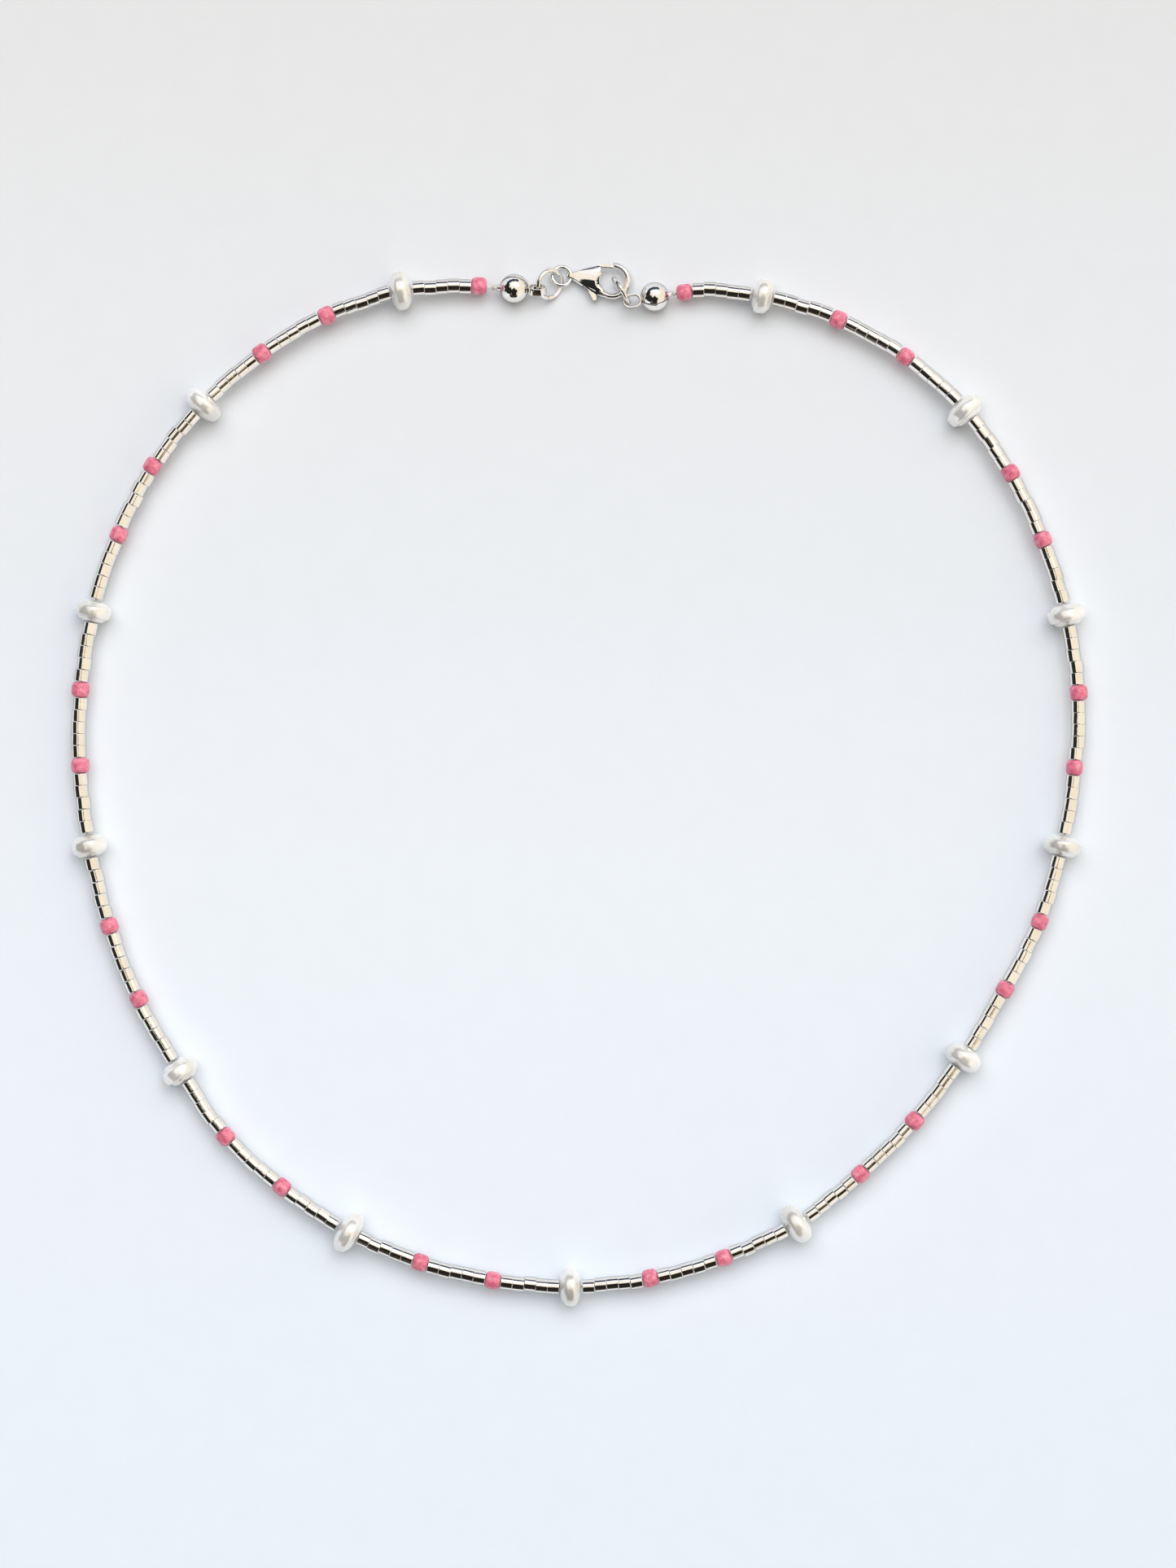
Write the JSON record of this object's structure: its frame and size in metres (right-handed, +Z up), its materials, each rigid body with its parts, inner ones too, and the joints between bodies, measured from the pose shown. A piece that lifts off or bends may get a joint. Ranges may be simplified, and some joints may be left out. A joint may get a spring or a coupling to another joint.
{
  "type": "pearl necklace",
  "caption": "Closed single-strand necklace of polished silver cylinder beads with pink seed beads and button pearls, on clear thread, fastened by a small lobster clasp.",
  "frame": {"origin": "under the middle of the bounding box, on the surface that the necklace lies on", "axes": "+Z up, +Y in the necklace's plane towards the clasp, +X to the hook side of the clasp"},
  "size_m": [0.1126, 0.1156, 0.0049],
  "materials": {
    "silver_bead": "mirror polished silver plate",
    "pink_glass": "opaque semi-gloss seed-bead glass",
    "pearl": "lustrous cream nacre",
    "nylon_thread": "clear nylon monofilament",
    "sterling_silver": "polished sterling silver",
    "crimp_metal": "crushed plated crimp",
    "spring_steel": "spring strip"
  },
  "bodies": {
    "strand_01": {"silver_beads_01": "silver_bead", "pink_beads_01": "pink_glass", "thread_01": "nylon_thread", "left_knot_cover": "sterling_silver", "left_crimp_bead": "crimp_metal", "left_thread_knot": "nylon_thread"},
    "strand_02": {"silver_beads_02": "silver_bead", "pink_beads_02": "pink_glass", "thread_02": "nylon_thread"},
    "strand_03": {"silver_beads_03": "silver_bead", "pink_beads_03": "pink_glass", "thread_03": "nylon_thread"},
    "strand_04": {"silver_beads_04": "silver_bead", "pink_beads_04": "pink_glass", "thread_04": "nylon_thread"},
    "strand_05": {"silver_beads_05": "silver_bead", "pink_beads_05": "pink_glass", "thread_05": "nylon_thread"},
    "strand_06": {"silver_beads_06": "silver_bead", "pink_beads_06": "pink_glass", "thread_06": "nylon_thread"},
    "strand_07": {"silver_beads_07": "silver_bead", "pink_beads_07": "pink_glass", "thread_07": "nylon_thread"},
    "strand_08": {"silver_beads_08": "silver_bead", "pink_beads_08": "pink_glass", "thread_08": "nylon_thread"},
    "strand_09": {"silver_beads_09": "silver_bead", "pink_beads_09": "pink_glass", "thread_09": "nylon_thread"},
    "strand_10": {"silver_beads_10": "silver_bead", "pink_beads_10": "pink_glass", "thread_10": "nylon_thread", "right_knot_cover": "sterling_silver", "right_crimp_bead": "crimp_metal", "right_thread_knot": "nylon_thread"},
    "pearl_01": {"pearl_01": "pearl"},
    "pearl_02": {"pearl_02": "pearl"},
    "pearl_03": {"pearl_03": "pearl"},
    "pearl_04": {"pearl_04": "pearl"},
    "pearl_05": {"pearl_05": "pearl"},
    "pearl_06": {"pearl_06": "pearl"},
    "pearl_07": {"pearl_07": "pearl"},
    "pearl_08": {"pearl_08": "pearl"},
    "pearl_09": {"pearl_09": "pearl"},
    "pearl_10": {"pearl_10": "pearl"},
    "pearl_11": {"pearl_11": "pearl"},
    "pearl_12": {"pearl_12": "pearl"},
    "pearl_13": {"pearl_13": "pearl"},
    "left_jump_ring": {"left_jump_ring": "sterling_silver"},
    "right_jump_ring": {"right_jump_ring": "sterling_silver"},
    "clasp_tail_ring": {"clasp_tail_ring": "sterling_silver"},
    "clasp": {"clasp_body": "sterling_silver", "trigger_pin": "sterling_silver", "trigger_spring": "spring_steel"},
    "trigger": {"clasp_trigger": "sterling_silver"}
  },
  "joints": [
    {"name": "flex_pearl_07", "type": "hinge", "parent": "strand_05", "child": "strand_06", "pos_m": [-0.00103, -0.05558, 0.00229], "axis": [0, 0, 1], "range_deg": [-6, 6]},
    {"name": "flex_pearl_08", "type": "hinge", "parent": "strand_06", "child": "strand_07", "pos_m": [0.02394, -0.04856, 0.00242], "axis": [0, 0, 1], "range_deg": [-3.33, 3.33]},
    {"name": "flex_pearl_10", "type": "hinge", "parent": "strand_07", "child": "strand_08", "pos_m": [0.05336, -0.00684, 0.00223], "axis": [0, 0, 1], "range_deg": [-7.57, 7.57]},
    {"name": "flex_pearl_11", "type": "hinge", "parent": "strand_08", "child": "strand_09", "pos_m": [0.05383, 0.0187, 0.00223], "axis": [0, 0, 1], "range_deg": [-5.56, 5.56]},
    {"name": "flex_pearl_13", "type": "hinge", "parent": "strand_09", "child": "strand_10", "pos_m": [0.02024, 0.05398, 0.00206], "axis": [0, 0, 1], "range_deg": [-6.88, 6.88]},
    {"name": "flex_pearl_06", "type": "hinge", "parent": "strand_05", "child": "strand_04", "pos_m": [-0.02554, -0.0495, 0.00246], "axis": [0, 0, 1], "range_deg": [-3.03, 3.03]},
    {"name": "flex_pearl_04", "type": "hinge", "parent": "strand_04", "child": "strand_03", "pos_m": [-0.0542, -0.00685, 0.00208], "axis": [0, 0, 1], "range_deg": [-7.56, 7.56]},
    {"name": "flex_pearl_03", "type": "hinge", "parent": "strand_03", "child": "strand_02", "pos_m": [-0.05377, 0.01909, 0.00209], "axis": [0, 0, 1], "range_deg": [-5.49, 5.49]},
    {"name": "flex_pearl_01", "type": "hinge", "parent": "strand_02", "child": "strand_01", "pos_m": [-0.01979, 0.05452, 0.00225], "axis": [0, 0, 1], "range_deg": [-6.95, 6.95]},
    {"name": "pearl_01_spin", "type": "hinge", "parent": "strand_02", "child": "pearl_01", "pos_m": [-0.01979, 0.05452, 0.00225], "axis": [-0.9815, -0.1901, 0.0246], "continuous": true},
    {"name": "pearl_02_spin", "type": "hinge", "parent": "strand_02", "child": "pearl_02", "pos_m": [-0.04162, 0.04192, 0.00241], "axis": [-0.6951, -0.7189, -0.0039], "continuous": true},
    {"name": "pearl_03_spin", "type": "hinge", "parent": "strand_03", "child": "pearl_03", "pos_m": [-0.05377, 0.01909, 0.00209], "axis": [-0.2328, -0.9725, -0.0065], "continuous": true},
    {"name": "pearl_04_spin", "type": "hinge", "parent": "strand_04", "child": "pearl_04", "pos_m": [-0.0542, -0.00685, 0.00208], "axis": [0.185, -0.9827, 0.0019], "continuous": true},
    {"name": "pearl_05_spin", "type": "hinge", "parent": "strand_04", "child": "pearl_05", "pos_m": [-0.04418, -0.03174, 0.00219], "axis": [0.5402, -0.8415, 0.0077], "continuous": true},
    {"name": "pearl_06_spin", "type": "hinge", "parent": "strand_05", "child": "pearl_06", "pos_m": [-0.02554, -0.0495, 0.00246], "axis": [0.88, -0.4749, 0.0015], "continuous": true},
    {"name": "pearl_07_spin", "type": "hinge", "parent": "strand_05", "child": "pearl_07", "pos_m": [-0.00103, -0.05558, 0.00229], "axis": [1, 0.0046, -0.001], "continuous": true},
    {"name": "pearl_08_spin", "type": "hinge", "parent": "strand_06", "child": "pearl_08", "pos_m": [0.02394, -0.04856, 0.00242], "axis": [0.853, 0.5219, 0.0001], "continuous": true},
    {"name": "pearl_09_spin", "type": "hinge", "parent": "strand_07", "child": "pearl_09", "pos_m": [0.04239, -0.03021, 0.00228], "axis": [0.5674, 0.8234, -0.0039], "continuous": true},
    {"name": "pearl_10_spin", "type": "hinge", "parent": "strand_07", "child": "pearl_10", "pos_m": [0.05336, -0.00684, 0.00223], "axis": [0.2237, 0.9747, -0.0009], "continuous": true},
    {"name": "pearl_11_spin", "type": "hinge", "parent": "strand_08", "child": "pearl_11", "pos_m": [0.05383, 0.0187, 0.00223], "axis": [-0.2286, 0.9735, 0.0019], "continuous": true},
    {"name": "pearl_12_spin", "type": "hinge", "parent": "strand_09", "child": "pearl_12", "pos_m": [0.04261, 0.04129, 0.00232], "axis": [-0.6658, 0.7461, -0.0026], "continuous": true},
    {"name": "pearl_13_spin", "type": "hinge", "parent": "strand_09", "child": "pearl_13", "pos_m": [0.02024, 0.05398, 0.00206], "axis": [-0.9811, 0.1925, -0.0189], "continuous": true},
    {"name": "left_jump_ring_spin", "type": "hinge", "parent": "strand_01", "child": "left_jump_ring", "pos_m": [-0.0033, 0.0554, 0.00134], "axis": [0.587, -0.295, 0.754], "continuous": true},
    {"name": "tail_ring_spin", "type": "hinge", "parent": "strand_01", "child": "clasp_tail_ring", "pos_m": [-0.00199, 0.05634, 0.00088], "axis": [0.06, 0.1391, 0.9885], "continuous": true},
    {"name": "right_jump_ring_spin", "type": "hinge", "parent": "strand_10", "child": "right_jump_ring", "pos_m": [0.0046, 0.05459, 0.00185], "axis": [0.848, 0.53, 0], "continuous": true},
    {"name": "clasp_swing", "type": "hinge", "parent": "strand_01", "child": "clasp", "pos_m": [-0.00199, 0.05634, 0.00088], "axis": [0.06, 0.1391, 0.9885], "range_deg": [-1, 3]},
    {"name": "trigger_pivot", "type": "hinge", "parent": "clasp", "child": "trigger", "pos_m": [0.00131, 0.05578, 0.00094], "axis": [-0.0522, 0.0044, 0.9986], "range_deg": [-20, 0], "stiffness_Nm_per_rad": 0.0004, "springref_deg": 11.46, "deforming": ["trigger_spring"]}
  ],
  "couplings": [
    {"joint": "flex_pearl_08", "follows": "flex_pearl_07", "ratio": 0.5467},
    {"joint": "flex_pearl_10", "follows": "flex_pearl_07", "ratio": -1.2525},
    {"joint": "flex_pearl_11", "follows": "flex_pearl_07", "ratio": -0.9189},
    {"joint": "flex_pearl_13", "follows": "flex_pearl_07", "ratio": 1.1379},
    {"joint": "flex_pearl_06", "follows": "flex_pearl_07", "ratio": -0.4965},
    {"joint": "flex_pearl_04", "follows": "flex_pearl_07", "ratio": 1.2516},
    {"joint": "flex_pearl_03", "follows": "flex_pearl_07", "ratio": 0.9072},
    {"joint": "flex_pearl_01", "follows": "flex_pearl_07", "ratio": -1.1491}
  ]
}
